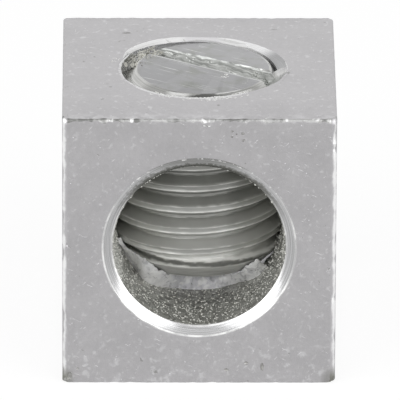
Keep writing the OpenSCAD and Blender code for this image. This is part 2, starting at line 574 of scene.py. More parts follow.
def dark_edge_with_glints():
    """Dark, broken band along the front of the top face, with painted glints in spots along it."""
    f = Finish("worn edge", 0.9)
    edge_patches = f.total((f.spots(0.45, 3.0), 0.55), (f.spots(2.3, 4.0), 0.45))
    nick_glint = f.noise(f.vector(f.x, f.y, 4.0), 2.4, 1.0)
    colour = f.mix(f.step(edge_patches, 0.42, 0.57), (0.25, 0.25, 0.243), (0.56, 0.56, 0.555))
    # Painted glints in spots along the edge
    colour = f.mix(f.step(nick_glint, 0.6, 0.68), colour, (0.97, 0.97, 0.97))
    return f.finish(colour, f.total((edge_patches, 0.3), (0.25, 1.0)), edge_patches, 0.03)


def corner_highlight():
    """Upright edges, painted near white along their rounding as a painted highlight, and darker towards the
    bottom.
    """
    f = Finish("rubbed corner", 0.8)
    patch = f.spots(1.1, 4.0)
    side = f.less(HALF_W, f.size(f.x))
    face = f.less(HALF_D, f.size(f.y))
    inside = f.over(f.most(side, face), CORNER_R)
    # Painted highlight along the rounded corner
    rubbed = f.step(f.total((inside, 1.0), (patch, 1.3)), 1.5, 0.95)
    colour = f.mix(rubbed, (0.52, 0.512, 0.525), (0.98, 0.98, 0.98))
    # Darker towards the bottom
    foot_darkening = f.times(f.step(f.z, 1.3, 0.3), f.step(patch, 0.3, 0.5))
    colour = f.mix(foot_darkening, colour, (0.24, 0.24, 0.215))
    return f.finish(colour, f.total((patch, 0.2), (0.25, 1.0)), patch, 0.02)


def bore_skin():
    """Coarse plating in the wire bore, dark between its bright grains, with a painted highlight on the left wall
    near the front.
    """
    f = Finish("bore skin", 0.75)
    plate = f.nodules(0.13, 0.5, 0.06)
    patch = f.spots(2.2, 4.0)
    colour = f.mix(f.step(patch, 0.3, 0.7), (0.29, 0.29, 0.268), (0.58, 0.58, 0.548))
    # Painted highlight on the left wall near the front
    rubbed = f.times(f.step(f.x, -4.85, -5.2), f.step(f.y, -3.6, -4.6))
    colour = f.mix(f.times(rubbed, f.step(patch, 0.25, 0.6, 0.4, 0.95)), colour, (0.95, 0.95, 0.92))
    roughness = f.total((plate["Grain"], 0.2), (0.3, 1.0))
    height = f.total((plate["Grain"], 0.6), (plate["Specks"], 1.0))
    return f.finish(colour, roughness, height, 0.05)


def turned_sink():
    """Bright countersink with the rings that its cutter left, painted darker over its upper part as painted
    shade, and with painted highlights along its inner and outer rims.
    """
    f = Finish("turned countersink", 1.0)
    rings = f.lines(f.about_bore(), f.plus(f.x, f.z), 0.06, 5.0)
    cloud = f.spots(0.9, 3.0)
    colour = f.mix(f.step(rings, 0.38, 0.62), (0.44, 0.44, 0.442), (0.6, 0.6, 0.606))
    speck = f.spots(4.5, 2.0)
    out = f.less(f.about_bore(), BORE_R)
    raised = f.step(f.z, BORE_Z + 1.5, BORE_Z + 4.6)
    inside = f.step(f.total((out, 1.0), (speck, 0.6)), 0.85, 0.45)
    shaded = f.most(inside, f.step(f.z, BORE_Z + 5.2, BORE_Z + 6.1, 0.0, 0.6))
    colour = f.mix(f.times(raised, shaded), colour, (0.17, 0.172, 0.158))
    clean = f.less(1.0, raised)
    # Painted highlights along the inner and outer rims
    inner = f.times(f.step(out, 0.2, 0.1), clean)
    outer = f.near(out, SINK_W - 0.06, 0.1, 0.02)
    outer = f.times(outer, f.most(clean, f.step(speck, 0.54, 0.62)))
    edge = f.times(f.most(inner, outer), f.step(cloud, 0.35, 0.65, 0.25, 1.0))
    colour = f.mix(edge, colour, (0.95, 0.95, 0.94))
    roughness = f.total((rings, 0.12), (cloud, 0.08), (edge, 0.15), (0.1, 1.0))
    return f.finish(colour, roughness, rings, 0.004)


def drilled_cut():
    """Bright cut of the drill's point in the floor of the bore, with the drill's rings."""
    f = Finish("drilled cut", 0.6)
    rings = f.lines(f.about_screw(), f.plus(f.x, f.y), 0.12, 6.0)
    cloud = f.spots(0.8, 3.0)
    colour = f.mix(rings, (0.5, 0.5, 0.51), (0.78, 0.78, 0.8))
    return f.finish(colour, f.total((cloud, 0.2), (0.22, 1.0)), rings, 0.03)


def torn_skin():
    """Smeared metal of the lip that the drill raised, with a few cracks, painted lighter at the sides and darker
    in the middle as painted light and shade.
    """
    f = Finish("torn skin", 0.1)
    fold = f.spots(0.75, 3.0, 0.6)
    cracks = f.near(fold, 0.55, 0.014, 0.004)
    cracks = f.times(cracks, f.step(f.spots(1.3), 0.56, 0.62))
    rags = f.spots(2.0, 4.0, 0.8)
    plate = f.nodules(0.3, 0.2, 0.12)
    # Painted light and shade: lighter at the sides, darker in the middle
    aside = f.step(f.size(f.x), 0.8, 2.6)
    colour = f.mix(aside, (0.78, 0.78, 0.82), (1.0, 1.0, 1.0))
    colour = f.mix(f.step(fold, 0.4, 0.62, 0.0, 0.25), colour, (0.4, 0.4, 0.43))
    colour = f.mix(f.step(rags, 0.46, 0.34, 0.0, 0.45), colour, (0.3, 0.3, 0.32))
    colour = f.mix(f.step(rags, 0.53, 0.64, 0.0, 0.8), colour, (1.0, 1.0, 1.0))
    colour = f.mix(f.times(cracks, 0.7), colour, (0.2, 0.2, 0.21))
    height = f.total((plate["Grain"], 0.4), (fold, 1.5), (rags, 1.2), (cracks, -0.6))
    return f.finish(colour, f.total((plate["Grain"], 0.25), (0.3, 1.0)), height, 0.04)


def tapped_wall():
    """Cut walls of the tapped hole, streaked along the cutter's path, painted near white towards the back as
    painted light.
    """
    f = Finish("tapped wall", 0.45)
    streaks = f.lines(f.z, f.plus(f.x, f.y), 0.07, 5.0)
    colour = f.mix(streaks, (0.36, 0.36, 0.364), (0.52, 0.52, 0.528))
    # Painted light: near white towards the back of the hole
    colour = f.mix(f.step(f.y, 2.2, 3.6), colour, (0.97, 0.97, 0.98))
    roughness = f.total((streaks, 0.14), (0.2, 1.0))
    return f.finish(colour, roughness, streaks, 0.006)


def mouth_break():
    """Torn break at the back of the screw hole's mouth: bare metal painted near white along its ridges as
    painted highlights, and greyer in the middle as a painted reflection.
    """
    f = Finish("mouth break", 0.0)
    ridges = f.lines(f.about_screw(), f.less(f.x, f.y), 0.12, 4.0)
    dirt = f.smudges(0.4, 0.6, 0.1)
    # Painted highlights: near white along the ridges
    colour = f.mix(f.step(ridges, 0.4, 0.5), (0.8, 0.8, 0.795), (1.0, 1.0, 1.0))
    # Painted reflection: greyer in the middle
    colour = f.mix(f.near(f.x, 0.25, 1.6, 0.8, 0.0, 0.8), colour, (0.82, 0.81, 0.83))
    colour = f.mix(f.times(dirt, 0.35), colour, (0.3, 0.3, 0.28))
    return f.finish(colour, f.total((ridges, 0.15), (0.15, 1.0)), ridges, 0.012)


def screw_thread():
    """Dull steel thread with bright lines rubbed along the edges of its crests, painted lighter towards the
    sides as painted light, and with the painted light and shade that its points carry.
    """
    f = Finish("screw thread", 0.75)
    wear_and_light = f.node("ShaderNodeAttribute", attribute_name="wear_and_light").outputs["Fac"]
    # Above 0: rubbed crest edges, painted light on the flanks towards the tip and painted highlights at the tip;
    # below 0: dull crests, and painted shade in the roots and at the tip
    worn, dull = f.most(wear_and_light, 0.0), f.most(f.times(wear_and_light, -1.0), 0.0)
    streaks = f.lines(f.z, f.plus(f.x, f.y), 0.05, 3.0)
    patch = f.spots(1.1, 4.0)
    colour = f.mix(patch, (0.31, 0.313, 0.295), (0.42, 0.424, 0.404))
    # Painted light: lighter towards the sides
    colour = f.mix(f.step(f.size(f.x), 2.0, 5.2, 0.0, 0.7), colour, (0.62, 0.625, 0.59))
    colour = f.mix(dull, colour, (0.1, 0.1, 0.09))
    colour = f.mix(worn, colour, (0.95, 0.95, 0.92))
    f.feed(f.shader["Metallic"], f.total((worn, -0.5), (0.75, 1.0)))
    roughness = f.total((patch, 0.14), (streaks, 0.08), (0.32, 1.0))
    return f.finish(colour, roughness, streaks, 0.005)


def screw_end():
    """Face of the screw's slotted end: greyed, scratched along the slot and smeared."""
    f = Finish("screw end", 0.9)
    along, across = f.about_slot()
    scratches = f.lines(across, along, 0.08, 3.0)
    lip = f.near(across, SLOT_OFFSET - SLOT_W / 2 - 0.05, 0.1, 0.02)
    smear = f.smudges(1.2, 0.5, 0.2)
    colour = f.mix(smear, (0.385, 0.385, 0.392), (0.31, 0.315, 0.3))
    colour = f.mix(f.step(across, SLOT_OFFSET + 0.8, SLOT_OFFSET + 1.3, 0.0, 0.2), colour, (0.6, 0.6, 0.61))
    marks = f.most(f.step(scratches, 0.6, 0.7), f.times(lip, 0.8))
    colour = f.mix(marks, colour, (0.7, 0.71, 0.7))
    roughness = f.total((scratches, 0.15), (smear, -0.06), (0.3, 1.0))
    return f.finish(colour, roughness, scratches, 0.01)


def slot_wall():
    """Torn walls of the slot with streaks along it, and painted glints: pale specks and a pale line along the
    far edge.
    """
    f = Finish("slot wall", 0.85)
    along, across = f.about_slot()
    wander = f.spots(0.9)
    streaks = f.lines(f.total((across, 1.0), (wander, 0.6)), along, 0.11, 1.4)
    plate = f.nodules(0.2, 0.24, 0.1)
    colour = f.mix(f.step(streaks, 0.35, 0.65), (0.32, 0.33, 0.315), (0.62, 0.63, 0.61))
    line = f.total((across, 1.0), (along, -SLOT_SKEW), (wander, 0.3))
    edge = f.near(line, SLOT_OFFSET + SLOT_W / 2 + 0.36, 0.1, 0.03)
    edge = f.times(edge, f.step(f.spots(1.6, 3.0), 0.4, 0.56, 0.2, 1.0))
    # Painted glints: pale specks and a pale line along the far edge
    colour = f.mix(f.most(plate["Specks"], edge), colour, (0.88, 0.9, 0.88))
    height = f.total((plate["Grain"], 0.4), (plate["Specks"], 0.5), (streaks, 0.8))
    return f.finish(colour, f.total((plate["Grain"], 0.2), (0.22, 1.0)), height, 0.03)


def bare_edge():
    """Bare turned bevel around the screw's slotted end, darker at the front as a painted reflection, with two
    painted highlights there.
    """
    f = Finish("bare bevel", 1.0)
    rings = f.lines(f.z, f.plus(f.x, f.y), 0.05, 2.0)
    left = f.near(f.x, -1.35, 1.0, 0.25)
    right = f.near(f.x, 2.1, 1.3, 0.4)
    front = f.step(f.y, -2.0, -3.0)
    band = f.near(f.total((f.about_screw(), 1.0), (rings, 0.1)), 4.34, 0.16, 0.04)
    # Painted highlights at two places on the front of the bevel
    bright = f.times(f.times(front, band), f.most(left, right))
    colour = f.mix(rings, (0.3, 0.3, 0.285), (0.8, 0.8, 0.79))
    # Painted reflection: darker at the front
    colour = f.mix(f.times(front, 0.45), colour, (0.16, 0.16, 0.15))
    colour = f.mix(bright, colour, (0.98, 0.98, 0.97))
    f.feed(f.shader["Metallic"], f.total((bright, -0.9), (1.0, 1.0)))
    return f.finish(colour, f.total((rings, 0.12), (0.12, 1.0)), rings, 0.012)


def mottled(name, metallic, low, high, roughness, scale=2.5, detail=3.0, depth=0.004):
    """Metal that is mottled between two tones: grains, burrs and the floors of dents."""
    f = Finish(name, metallic)
    mottle = f.spots(scale, detail)
    return f.finish(f.mix(mottle, low, high), f.total((mottle, 0.2), (roughness, 1.0)), mottle, depth)


# The block

def rounded_outline(half_w, half_d, radius, step, corner_steps):
    """Points around a rectangle with round corners, and the way out from each, anticlockwise."""
    points, ways = [], []
    corners = [(1, -1, -90), (1, 1, 0), (-1, 1, 90), (-1, -1, 180)]
    centres = [(x * (half_w - radius), y * (half_d - radius)) for x, y, _ in corners]
    for index, (_, _, start) in enumerate(corners):
        cx, cy = centres[index]
        for k in range(corner_steps + 1):
            angle = math.radians(start + 90 * k / corner_steps)
            points.append((cx + radius * math.cos(angle), cy + radius * math.sin(angle)))
            ways.append((math.cos(angle), math.sin(angle)))
        nx, ny = centres[(index + 1) % 4]
        way = (math.cos(math.radians(start + 90)), math.sin(math.radians(start + 90)))
        begin = np.array((cx, cy)) + radius * np.array(way)
        stop = np.array((nx, ny)) + radius * np.array(way)
        count = round(np.linalg.norm(stop - begin) / step)
        for k in range(1, count):
            points.append(tuple(begin + (stop - begin) * k / count))
            ways.append(way)
    return np.array(points), np.array(ways)


# Nicks along the front of the top edge, as (place across the block, width, depth)
FRONT_NICKS = [
    (-8.6, 0.25, 0.16), (-6.3, 0.2, 0.12), (-5.0, 0.2, 0.12), (-4.1, 0.2, 0.1), (-0.4, 0.2, 0.14),
    (2.9, 0.2, 0.13), (5.2, 0.25, 0.1), (7.3, 0.2, 0.12), (8.7, 0.3, 0.16),
]
# Dents in the plating, as (middle, half sizes)
DENTS = [
    ((2.12, -HALF_D, 17.92), (0.1, 0.06, 0.07)), ((2.81, -HALF_D, 17.77), (0.12, 0.06, 0.09)),
    ((2.1, -HALF_D, 17.53), (0.09, 0.06, 0.06)), ((2.85, -HALF_D, 17.28), (0.12, 0.06, 0.08)),
    ((2.41, -HALF_D, 17.73), (0.07, 0.06, 0.05)), ((3.1, -HALF_D, 1.43), (0.14, 0.08, 0.13)),
    ((4.15, -HALF_D, 1.15), (0.13, 0.08, 0.3)), ((1.82, -HALF_D, 0.93), (0.16, 0.07, 0.11)),
    ((0.46, -HALF_D, 18.3), (0.26, 0.06, 0.06)), ((-8.66, -HALF_D, 9.84), (0.1, 0.07, 0.16)),
    ((-8.5, -HALF_D, 0.5), (0.2, 0.08, 0.3)), ((-7.97, -HALF_D, 1.02), (0.09, 0.06, 0.09)),
    ((8.75, -HALF_D, 0.12), (0.22, 0.1, 0.16)), ((-4.75, 6.05, FACE_Z), (0.34, 0.12, 0.05)),
    ((5.6, 1.2, FACE_Z), (0.08, 0.1, 0.05)), ((6.4, HALF_D, 14.6), (0.3, 0.07, 0.12)),
    ((-HALF_W, 3.4, 6.2), (0.07, 0.3, 0.12)), ((HALF_W, -2.7, 12.5), (0.07, 0.14, 0.34)),
]


def edge_wear(outline, width, seed, nicks):
    """Width of the break along an edge: uneven, with nicks at given and at chance places."""
    chance = random.Random(seed)
    spots = list(nicks)
    for _ in range(60):
        x, y = outline[chance.randrange(len(outline))]
        spots.append((x, y, chance.uniform(0.1, 0.3), chance.uniform(0.02, 0.1)))
    edge = np.array([
        width * (0.8 + 0.5 * noise.noise(Vector((x * 1.7, y * 1.7, seed)))
                 + 0.4 * noise.noise(Vector((x * 4.3, y * 4.3, seed)))) for x, y in outline
    ])
    for x, y, reach, depth in spots:
        away = np.hypot(outline[:, 0] - x, outline[:, 1] - y)
        edge += depth * np.exp(-((away / reach) ** 2))
    return np.maximum(edge, 0.03)


def block_shell():
    """The block before it is drilled: round corners, broken edges, nicks and slightly uneven sides."""
    outline, ways = rounded_outline(HALF_W, HALF_D, CORNER_R, 0.13, 6)
    arc = [math.pi / 2 * k / 5 for k in range(6)]
    foot_chips = [(HALF_W, -HALF_D, 0.45, 0.3), (-HALF_W, -HALF_D, 0.35, 0.18)]
    low = np.minimum(edge_wear(outline, 0.1, 3, foot_chips), 0.42)
    high = edge_wear(outline, 0.19, 8, [(x, -HALF_D, w, d) for x, w, d in FRONT_NICKS])
    near = [0.5, 0.66, 0.84, 1.05]
    levels = near + list(np.linspace(1.35, FACE_Z - 1.35, 42)) + [FACE_Z - z for z in reversed(near)]
    chance = random.Random(17)
    chips = [(chance.randrange(4), chance.uniform(0.5, FACE_Z - 0.5), chance.uniform(0.15, 0.4),
              chance.uniform(0.02, 0.09)) for _ in range(30)]
    on_corner = [
        (outline[:, 0] * sx > HALF_W - CORNER_R) & (outline[:, 1] * sy > HALF_D - CORNER_R)
        for sx, sy in ((1, -1), (1, 1), (-1, 1), (-1, -1))
    ]
    rows = [(low * (1 - math.sin(a)), low * (1 - math.cos(a))) for a in arc]
    for z in levels:
        inset = np.array([
            0.006 * (1 + noise.noise(Vector((x * 0.35, y * 0.35, z * 0.35)))) for x, y in outline
        ])
        for corner, height, reach, depth in chips:
            inset[on_corner[corner]] += depth * math.exp(-(((z - height) / reach) ** 2))
        rows.append((inset, np.full(len(outline), z)))
    wide, deep = 0.65 * high, 1.3 * high
    rows += [(wide * (1 - math.sin(a)), FACE_Z - deep * (1 - math.cos(a))) for a in reversed(arc)]
    points = [
        (*(outline[i] - ways[i] * inset[i]), height[i])
        for inset, height in rows for i in range(len(outline))
    ]
    return new_object("lug_block", points, ring_faces(len(rows), len(outline)))


def wire_bore_tool():
    """The wire bore with rounded countersinks; its wall is rough."""
    outer = BORE_R + SINK_W
    rim = [
        (outer + 0.04 + 0.7 * 3.4, HALF_D + 0.7), (outer + 0.04, HALF_D), (outer - 0.09, HALF_D - 0.038),
        (BORE_R + 0.1, HALF_D - SINK_DEPTH + 0.075), (BORE_R + 0.045, HALF_D - SINK_DEPTH + 0.03),
        (BORE_R + 0.012, HALF_D - SINK_DEPTH - 0.03), (BORE_R, HALF_D - SINK_DEPTH - 0.1),
    ]
    wall = [(BORE_R, y) for y in np.linspace(HALF_D - SINK_DEPTH - 0.3, -HALF_D + SINK_DEPTH + 0.3, 76)]
    rows = rim + wall + [(r, -y) for r, y in reversed(rim)]
    first, last = len(rim), len(rim) + len(wall)

    def shape(index, angle, radius, height):
        if first <= index < last:
            spot = around(angle, BORE_R, height)
            radius += 0.02 * noise.noise(spot * 2.6) + 0.012 * noise.noise(spot * 6.1)
        elif abs(height) <= HALF_D:
            spot = around(angle, 4, height)
            radius += 0.012 * noise.noise(spot)
        return radius, height

    tool = turned("wire bore tool", rows, BORE_SIDES, shape)
    tool.data.transform(Matrix.Translation((0, 0, BORE_Z)) @ Matrix.Rotation(math.radians(-90), 4, "X"))
    return tool


def drill_tool():
    """The drilled hole with its pointed end, torn where it breaks into the floor of the bore."""
    shoulder = DRILL_TIP_Z + DRILL_R * DRILL_RISE
    cone = [(DRILL_R * k / 24, DRILL_TIP_Z + DRILL_R * DRILL_RISE * k / 24) for k in range(1, 25)]
    rows = cone + [(DRILL_R, z) for z in np.linspace(shoulder + 0.2, BODY_H + 0.5, 30)]

    def shape(index, angle, radius, height):
        spot = around(angle, radius, height)
        tear = 0.09 * noise.noise(spot * 1.1) + 0.045 * noise.noise(spot * 3.1)
        share = smooth(height, 9.0, 6.5)
        return radius + share * tear * min(1.0, radius / 2), height

    return turned("drill tool", rows, DRILL_SIDES, shape)


# The torn lip around the drilled hole: its foot on the bore's wall as (x, y), then its top as (x, y, z)
LIP = [
    (-5.4, -3.0, -5.1, -3.1, 8.3), (-5.15, -3.1, -4.85, -3.4, 7.75), (-4.9, -3.15, -4.6, -3.8, 7.25),
    (-4.6, -3.3, -4.2, -4.25, 7.35), (-4.25, -3.5, -3.8, -4.65, 7.2), (-3.75, -4.05, -3.4, -4.85, 7.0),
    (-3.35, -4.15, -2.9, -4.8, 6.6), (-2.6, -3.7, -2.3, -4.45, 6.02), (-1.9, -3.1, -1.7, -3.5, 5.5),
    (-1.1, -2.8, -1.0, -2.5, 5.0), (0.0, -2.6, 0.0, -2.3, 4.85), (1.25, -2.76, 1.2, -2.5, 4.95),
    (1.9, -2.8, 1.8, -2.6, 5.15), (2.7, -3.0, 2.5, -3.5, 5.5), (3.2, -3.5, 2.95, -4.3, 6.15),
    (3.6, -4.0, 3.4, -4.6, 6.8), (4.0, -4.1, 3.85, -4.65, 7.15), (4.3, -4.05, 4.2, -4.45, 7.15),
    (4.5, -3.85, 4.45, -4.1, 6.95),
]
# The lip's section, as (share of its rise, way in towards the hole)
LIP_SECTION = [
    (-0.12, 0.0), (0.12, -0.02), (0.35, -0.06), (0.6, -0.09), (0.82, -0.06), (1.0, 0.0), (0.98, 0.1),
    (0.6, 0.28), (-0.3, 0.4),
]
# Sections along the lip, how many of them its line is eased over, and over how many its ends taper
LIP_STATIONS, LIP_EASE, LIP_TAPER = 220, 23, 12


def off_screw(x, y, z):
    """A point moved clear of the screw's tip: down under its flat, or out from its chamfer and thread."""
    out = math.hypot(x, y)
    if out < TIP_R - 0.3:
        return x, y, min(z, TIP_Z - 0.12)
    away = max(1.0, min(CREST_R + 0.06, TIP_R + z - TIP_Z + 0.08) / out)
    return x * away, y * away, z


def drilled_lip():
    """Metal that the drill pushed up into a torn, leaning lip in front of its hole."""
    marks = np.array(LIP)
    along = np.concatenate(([0], np.cumsum(np.hypot(*np.diff(marks[:, :2], axis=0).T))))
    stations = np.linspace(0, along[-1], LIP_STATIONS)
    window = np.hanning(LIP_EASE) / np.hanning(LIP_EASE).sum()

    def eased(column):
        line = np.pad(np.interp(stations, along, column), LIP_EASE // 2, mode="edge")
        return np.convolve(line, window, "valid")

    points = []
    for index, (x, y, *top) in enumerate(zip(*(eased(column) for column in marks.T))):
        spot, from_end = Vector((x, y, 0)), min(index, LIP_STATIONS - 1 - index)
        foot = Vector((x, y - 0.1 * noise.noise(spot * 1.9) - 0.05 * noise.noise(spot * 5.0), 0))
        foot.z = BORE_Z - math.sqrt(BORE_R ** 2 - x * x)
        rise = (Vector(top) - foot) * (1 + 0.16 * noise.noise(spot * 2.6) + 0.1 * noise.noise(spot * 6.5))
        rise *= 0.25 + 0.75 * smooth(from_end, 0, LIP_TAPER)
        inward = Vector((-x, -y, 0)).normalized()
        for lift, depth in LIP_SECTION:
            lump = Vector((x * 1.5, y * 1.5, lift * 2.2))
            wave = 0.13 * noise.noise(lump) + 0.05 * noise.noise(lump * 2.9)
            points.append(off_screw(*(foot + rise * lift + inward * (depth + wave))))
    lip = new_object("drilled_lip", points, ring_faces(LIP_STATIONS, len(LIP_SECTION)))
    lip.data.materials.append(torn_skin())
    shade(lip, LIP_SHARP)
    return lip


def threaded_bar(name, tree, **sizes):
    """A bar with the pitch and the phase that the tap and the screw share."""
    return grown(name, tree, Root_radius=ROOT_R, Pitch=PITCH, Flank_slope=FLANK_SLOPE, Start=THREAD_START,
                 Turns=THREAD_TURNS, **sizes)


def tap_tool(tree):
    """The thread that the tap cuts, from its run-out above the drilled point up through the top face."""
    bar = threaded_bar("tap tool", tree, Crest_radius=TAP_R, Crest_flat=TAP_FLAT, Rounding=0.02, Columns=120,
                       Rows_in_a_pitch=16)
    rows = [(4.9, RUNOUT_Z - 0.3), (7.0, RUNOUT_Z + 1.8), (7.0, BODY_H + 0.4)]
    return combine(bar, "INTERSECT", turned("tap reach", rows, TAP_SIDES))


def mouth_tool():
    """A small torn break around the back of the screw hole's mouth."""

    def shape(index, angle, radius, height):
        degrees = math.degrees(angle)
        torn = around(angle, 5)
        width = (0.36 + 0.16 * smooth(degrees, 96, 122)) * smooth(degrees, 30, 62) * smooth(degrees, 172, 140)
        narrow = 1 - 0.5 * math.exp(-(((degrees - 88) / 15) ** 2))
        edge = DRILL_R + (width * narrow - 0.04) + 0.02 * noise.noise(torn * 1.3) + 0.015 * noise.noise(torn * 4)
        inner, outer = 4.6, edge + 0.5
        rise = FACE_Z - edge + inner
        return [(inner, FACE_Z - 1.2), (inner, rise), (outer, FACE_Z + 0.5), (outer, FACE_Z + 0.8)][index]

    return turned("mouth tool", [(0, 0)] * 4, MOUTH_SIDES, shape)


def dent_tool():
    """All dents as one tool: flattened balls with uneven skins."""
    mesh = bmesh.new()
    for place, sizes in DENTS:
        made = bmesh.ops.create_icosphere(mesh, subdivisions=2, radius=1.0)
        for vertex in made["verts"]:
            uneven = 1 + 0.35 * noise.noise(vertex.co * 1.7 + Vector(place))
            vertex.co = Vector(place) + Vector(c * s * uneven for c, s in zip(vertex.co, sizes))
    return linked("dent tool", mesh_of("dent tool", mesh))


def lug_region(spot, way):
    """The finish of a face of the block, from its middle and its direction."""
    side, face = HALF_W - abs(spot.x), HALF_D - abs(spot.y)
    if max(side, face) < CORNER_R * 1.1:
        return CORNER
    if face < 0.6 and spot.y < 0 and spot.z > FACE_Z - 0.7 and 0.08 < way.z < 0.97:
        return TOP_EDGE
    about_bore = math.hypot(spot.x, spot.z - BORE_Z)
    about_hole = math.hypot(spot.x, spot.y)
    if about_hole < 6.1 and spot.z > BORE_Z + 2 and about_bore > BORE_R + 0.05 and spot.z < FACE_Z - 0.004:
        return MOUTH if spot.z > FACE_Z - 0.6 and 0.45 < way.z < 0.8 else TAPPED
    if about_hole < 6.0 and about_bore > BORE_R + 0.045 and spot.z < BORE_Z + 2 and abs(spot.y) < 5.95:
        return TAPPED if spot.z > RUNOUT_Z + 0.2 and about_hole > DRILL_R - 0.12 else DRILLED
    if about_bore < BORE_R + 0.045:
        return BORE
    in_sink = about_bore < BORE_R + SINK_W + 0.06 and abs(spot.y) > HALF_D - SINK_DEPTH - 0.1
    if in_sink and abs(way.y) < 0.985:
        return SINK
    for place, sizes in DENTS:
        away = [abs(a - b) / c for a, b, c in zip(spot, place, sizes)]
        if max(away) < 1.4 and min(side, face, FACE_Z - spot.z) > 0.012:
            return PIT
    return PLATE


def lug_block(tree):
    """The block: bored, drilled, tapped, dented and painted."""
    block = block_shell()
    combine(block, "DIFFERENCE", wire_bore_tool(), drill_tool(), tap_tool(tree), mouth_tool(), dent_tool())
    shade(block, BLOCK_SHARP)
    # Dark floors of the dents
    dark_pit = mottled("dirty pit", 0.8, (0.2, 0.198, 0.19), (0.55, 0.545, 0.53), 0.35, 6.0, 4.0, 0.02)
    paint(block, [plated_face("plated face"), bore_skin(), turned_sink(), drilled_cut(), tapped_wall(),
                  dark_pit, dark_edge_with_glints(), corner_highlight(), mouth_break()], lug_region)
    return block


# The set screw

def slot_tool():
    """A long bar that cuts the slot; its far side is worn to a slope and both sides are streaked."""
    floor, high, half = TOP_Z - SLOT_DEPTH, TOP_Z + 0.6, SLOT_W / 2
    depths = list(np.linspace(floor, TOP_Z - 0.7, 8)) + list(np.linspace(TOP_Z - 0.6, high, 15))
    section = [(-half, z) for z in reversed(depths)]
    section += [(min(half + 0.3, max(-0.2, half + 0.3 - (TOP_Z - z) * 1.4)), z) for z in depths]
    points = []
    stations = np.linspace(-7.0, 7.0, 100)
    for along in stations:
        for index, (across, z) in enumerate(section):
            side = -1 if index < len(depths) else 1
            spot = Vector((along * 0.6, z * 4.0, side * 7))
            rough = 0.13 * noise.noise(spot) + 0.07 * noise.noise(spot * 3.3)
            skew = SLOT_SKEW * along if side > 0 and across > 0 else 0.0
            points.append((along, across + side * rough + skew, z))
    tool = new_object("slot tool", points, ring_faces(len(stations), len(section)))
    tool.data.transform(Matrix.Rotation(SLOT_TURN, 4, "Z") @ Matrix.Translation((0, SLOT_OFFSET, 0)))
    return tool


def screw_reach():
    """Ends of the screw: a chamfer at the tip and one at the slotted end."""
    wide = CREST_R + 0.4
    rows = [(TIP_R - 0.06, TIP_Z), (TIP_R + 0.03, TIP_Z + 0.05)]
    rows += [(TIP_R + rise, TIP_Z + rise) for rise in np.linspace(0.1, wide - TIP_R, 30)]
    rows += [(wide, TOP_Z - wide + TOP_R), (TOP_R + 0.36, TOP_Z - 0.08), (TOP_R + 0.18, TOP_Z)]

    def shape(index, angle, radius, height):
        spot = around(angle, 3, index)
        aside = 0.28 * math.cos(angle) + 0.14 * math.sin(angle) + 0.06 * noise.noise(spot)
        return radius + (aside if index > len(rows) - 3 else 0.0), height

    return turned("screw reach", rows, SCREW_SIDES, shape)


# Inner edge of the last sliver of thread, as (bearing in degrees, radius), and how often it is cut across
SLIVER = [
    (-212, 5.17), (-196, 5.1), (-160, 5.12), (-112, 5.0), (-65, 4.97), (-42, 5.28), (-30, 5.45), (-15, 5.66),
    (0, 5.82), (6, 5.87),
]
SLIVER_CUTS = 150


def thread_sliver():
    """The screw's last sliver of thread, which fills the tapped groove where it opens into the top face."""
    bearings = np.linspace(SLIVER[0][0], SLIVER[-1][0], SLIVER_CUTS)
    inner = np.interp(bearings, *zip(*SLIVER))
    points = []
    for bearing, near in zip(bearings, inner):
        angle = math.radians(bearing)
        torn = around(angle, 6, 3)
        near += (0.05 * noise.noise(torn) + 0.03 * noise.noise(torn * 3.7)) * smooth(bearing, 0, -20)
        top = FACE_Z - 0.008 + 0.006 * noise.noise(torn * 2)

        def groove(z):
            off = max(0.0, abs(z - crest_height(bearing)) - TAP_FLAT / 2)
            return max(near + 0.01, max(DRILL_R, TAP_R - off * FLANK_SLOPE) - 0.012)

        rim, foot = groove(top), min(near + 0.02, ROOT_R)
        edge = min(crest_height(bearing) - CREST_FLAT / 2 + 0.05, top - 0.04)
        section = [
            (foot - 0.35, edge - 0.55), (foot, edge - 0.44), (min(CREST_R, groove(edge)), edge), (rim, top),
            (min(near + 0.28, rim - 0.004), top), (min(near + 0.05, rim - 0.006), top),
            (min(near, rim - 0.008), top - min(0.06, (rim - near) / 2)),
        ]
        points += [around(angle, r, z) for r, z in section]
    return new_object("thread sliver", points, ring_faces(SLIVER_CUTS, len(section)))


def screw_region(spot, way):
    """The finish of a face of the screw, from its middle and its direction."""
    across = spot.y * math.cos(SLOT_TURN) - spot.x * math.sin(SLOT_TURN) - SLOT_OFFSET
    out = math.hypot(spot.x, spot.y)
    if spot.z > TOP_Z - 0.1 and out > 4.8:
        return SMEARED if out > 5.26 else TORN_LIP
    if spot.z > TOP_Z - 1.5 and 3.85 < out < 5.9 and 0.2 < way.z < 0.95 and not -0.65 < across < 1.05:
        return BEVEL
    if -0.72 < across < 1.25 and TOP_Z - SLOT_DEPTH - 0.05 < spot.z < TOP_Z - 0.02:
        return SLOT
    return END if spot.z > TOP_Z - 0.09 else THREAD


# Painted highlights and painted shade in bands around the screw's tip, as (height, brightness); above the last
# one the thread is plain
TIP_BANDS = [
    (5.76, 0.9), (5.84, 0.45), (6.75, 0.5), (6.84, 0.8), (6.92, 0.75), (6.98, -0.5), (7.08, -0.45),
    (7.15, 1.0), (7.24, 1.0), (7.31, 0.45), (7.9, 0.5), (8.05, 0.0),
]
TIP_BANDS_TOP = TIP_BANDS[-1][0]
# Below this height the flanks are painted brighter towards the tip, as painted light
SHINE_TOP = 12.5


